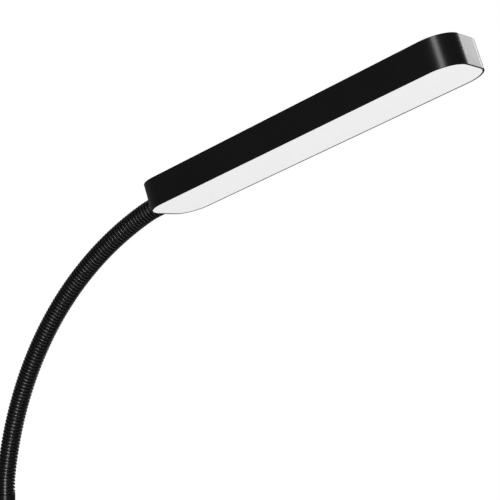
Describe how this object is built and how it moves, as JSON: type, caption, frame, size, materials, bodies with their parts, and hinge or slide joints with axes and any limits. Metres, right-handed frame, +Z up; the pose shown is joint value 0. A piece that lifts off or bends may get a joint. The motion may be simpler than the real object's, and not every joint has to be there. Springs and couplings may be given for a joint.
{
  "type": "floor lamp",
  "caption": "Reading floor lamp with a round weighted base, straight pole with push buttons, ribbed flexible neck and long flat light head.",
  "frame": {"origin": "on the floor below the pole's axis, at the middle of the base's underside", "axes": "+Z up along the pole, +X towards the side that the neck leans to, the supply inlet on -X"},
  "size_m": [0.5257, 0.24, 1.4278],
  "materials": {
    "satin_black_paint": "satin",
    "satin_black_aluminium": "satin",
    "black_neck_steel": "satin",
    "spring_steel": "satin",
    "cast_iron": "matte",
    "pad_rubber": "matte",
    "zinc_steel": "satin",
    "inlet_plastic": "matte",
    "contact_brass": "polished",
    "wire_jacket": "satin",
    "circuit_board": "gloss",
    "electronic_parts": "matte",
    "button_plastic": "satin",
    "light_board": "matte",
    "light_chips": "gloss",
    "white_sheet": "matte",
    "milky_window": "satin",
    "plug_plastic": "matte"
  },
  "bodies": {
    "stand": {"anti_slip_pad": "pad_rubber", "base_weight": "cast_iron", "base_cover": "satin_black_paint", "base_washer": "zinc_steel", "base_nut": "zinc_steel", "base_screw": "zinc_steel", "base_collar": "satin_black_paint", "dc_jack": "inlet_plastic", "dc_jack_pin": "contact_brass", "pole_lower": "satin_black_paint", "pole_middle": "satin_black_paint", "pole_upper": "satin_black_paint", "pole_inserts": "zinc_steel", "pole_screws": "zinc_steel", "supply_wire": "wire_jacket", "control_nut": "zinc_steel", "control_housing": "satin_black_aluminium", "control_board": "circuit_board", "driver_parts": "electronic_parts", "switch_bodies": "electronic_parts", "control_cap": "satin_black_aluminium", "cap_screws": "zinc_steel", "ferrule": "satin_black_aluminium", "ferrule_screw": "zinc_steel", "ferrule_nut": "zinc_steel", "neck_root": "black_neck_steel", "neck_core": "spring_steel", "lamp_wire": "wire_jacket"},
    "power_button": {"power_button": "button_plastic"},
    "mode_button": {"mode_button": "button_plastic"},
    "neck_link_01": {"neck_link_01": "black_neck_steel"},
    "neck_link_02": {"neck_link_02": "black_neck_steel"},
    "neck_link_03": {"neck_link_03": "black_neck_steel"},
    "neck_link_04": {"neck_link_04": "black_neck_steel"},
    "neck_link_05": {"neck_link_05": "black_neck_steel"},
    "neck_link_06": {"neck_link_06": "black_neck_steel"},
    "neck_link_07": {"neck_link_07": "black_neck_steel"},
    "neck_link_08": {"neck_link_08": "black_neck_steel"},
    "neck_link_09": {"neck_link_09": "black_neck_steel"},
    "neck_link_10": {"neck_link_10": "black_neck_steel"},
    "neck_link_11": {"neck_link_11": "black_neck_steel"},
    "neck_link_12": {"neck_link_12": "black_neck_steel"},
    "neck_link_13": {"neck_link_13": "black_neck_steel"},
    "neck_link_14": {"neck_link_14": "black_neck_steel"},
    "neck_link_15": {"neck_link_15": "black_neck_steel"},
    "neck_link_16": {"neck_link_16": "black_neck_steel"},
    "neck_link_17": {"neck_link_17": "black_neck_steel"},
    "neck_link_18": {"neck_link_18": "black_neck_steel"},
    "neck_link_19": {"neck_link_19": "black_neck_steel"},
    "head": {"neck_tip": "black_neck_steel", "head_screw": "zinc_steel", "head_nut": "zinc_steel", "head_housing": "satin_black_aluminium", "led_board": "light_board", "led_chips": "light_chips", "reflector_sheet": "white_sheet", "diffuser": "milky_window", "board_screws": "zinc_steel", "head_connector": "plug_plastic"}
  },
  "joints": [
    {"name": "power_press", "type": "slide", "parent": "stand", "child": "power_button", "axis": [-1, 0, 0], "range_m": [0, 0.001], "stiffness_N_per_m": 1500, "springref_m": -0.0005},
    {"name": "mode_press", "type": "slide", "parent": "stand", "child": "mode_button", "axis": [-1, 0, 0], "range_m": [0, 0.001], "stiffness_N_per_m": 1500, "springref_m": -0.0005},
    {"name": "neck_bend_01", "type": "hinge", "parent": "stand", "child": "neck_link_01", "pos_m": [0, 0, 1.1121], "axis": [0.001, 1, -0.0001], "range_deg": [-20.4, 1.6], "deforming": ["neck_core", "lamp_wire"]},
    {"name": "neck_bend_02", "type": "hinge", "parent": "neck_link_01", "child": "neck_link_02", "pos_m": [0.00237, 0, 1.12641], "axis": [-0.001, 1, 0.0002], "range_deg": [-13.92, 8.08]},
    {"name": "neck_side_03", "type": "hinge", "parent": "neck_link_02", "child": "neck_link_03", "pos_m": [0.00546, 0, 1.14057], "axis": [0.9712, 0, -0.2383], "range_deg": [-10.5, 10.5]},
    {"name": "neck_bend_04", "type": "hinge", "parent": "neck_link_03", "child": "neck_link_04", "pos_m": [0.00928, 0, 1.15456], "axis": [0.001, 1, -0.0003], "range_deg": [-13.92, 8.08]},
    {"name": "neck_bend_05", "type": "hinge", "parent": "neck_link_04", "child": "neck_link_05", "pos_m": [0.0138, 0, 1.16834], "axis": [-0.0009, 1, 0.0003], "range_deg": [-13.92, 8.08]},
    {"name": "neck_side_06", "type": "hinge", "parent": "neck_link_05", "child": "neck_link_06", "pos_m": [0.01901, 0, 1.18187], "axis": [0.9235, 0, -0.3835], "range_deg": [-10.5, 10.5]},
    {"name": "neck_bend_07", "type": "hinge", "parent": "neck_link_06", "child": "neck_link_07", "pos_m": [0.02491, 0, 1.19511], "axis": [0.0009, 1, -0.0004], "range_deg": [-13.92, 8.08]},
    {"name": "neck_bend_08", "type": "hinge", "parent": "neck_link_07", "child": "neck_link_08", "pos_m": [0.03148, 0, 1.20804], "axis": [-0.0009, 1, 0.0005], "range_deg": [-13.92, 8.08]},
    {"name": "neck_side_09", "type": "hinge", "parent": "neck_link_08", "child": "neck_link_09", "pos_m": [0.0387, 0, 1.22062], "axis": [0.8543, 0, -0.5198], "range_deg": [-10.5, 10.5]},
    {"name": "neck_bend_10", "type": "hinge", "parent": "neck_link_09", "child": "neck_link_10", "pos_m": [0.04655, 0, 1.23281], "axis": [0.0008, 1, -0.0006], "range_deg": [-13.92, 8.08]},
    {"name": "neck_bend_11", "type": "hinge", "parent": "neck_link_10", "child": "neck_link_11", "pos_m": [0.05501, 0, 1.24458], "axis": [-0.0008, 1, 0.0006], "range_deg": [-13.92, 8.08]},
    {"name": "neck_side_12", "type": "hinge", "parent": "neck_link_11", "child": "neck_link_12", "pos_m": [0.06406, 0, 1.25591], "axis": [0.7651, 0, -0.6439], "range_deg": [-10.5, 10.5]},
    {"name": "neck_bend_13", "type": "hinge", "parent": "neck_link_12", "child": "neck_link_13", "pos_m": [0.07368, 0, 1.26676], "axis": [0.0007, 1, -0.0007], "range_deg": [-13.92, 8.08]},
    {"name": "neck_bend_14", "type": "hinge", "parent": "neck_link_13", "child": "neck_link_14", "pos_m": [0.08384, 0, 1.27711], "axis": [-0.0007, 1, 0.0007], "range_deg": [-13.92, 8.08]},
    {"name": "neck_side_15", "type": "hinge", "parent": "neck_link_14", "child": "neck_link_15", "pos_m": [0.09451, 0, 1.28693], "axis": [0.658, 0, -0.753], "range_deg": [-10.5, 10.5]},
    {"name": "neck_bend_16", "type": "hinge", "parent": "neck_link_15", "child": "neck_link_16", "pos_m": [0.10566, 0, 1.29619], "axis": [0.0006, 1, -0.0008], "range_deg": [-13.92, 8.08]},
    {"name": "neck_bend_17", "type": "hinge", "parent": "neck_link_16", "child": "neck_link_17", "pos_m": [0.11728, 0, 1.30487], "axis": [-0.0006, 1, 0.0008], "range_deg": [-13.92, 8.08]},
    {"name": "neck_side_18", "type": "hinge", "parent": "neck_link_17", "child": "neck_link_18", "pos_m": [0.12932, 0, 1.31294], "axis": [0.5356, 0, -0.8445], "range_deg": [-10.5, 10.5]},
    {"name": "neck_bend_19", "type": "hinge", "parent": "neck_link_18", "child": "neck_link_19", "pos_m": [0.14176, 0, 1.32039], "axis": [0.0005, 1, -0.0009], "range_deg": [-13.92, 8.08]},
    {"name": "head_bend", "type": "hinge", "parent": "neck_link_19", "child": "head", "pos_m": [0.15457, 0, 1.3272], "axis": [-0.0004, 1, 0.0009], "range_deg": [-19.2, 2.8]}
  ]
}
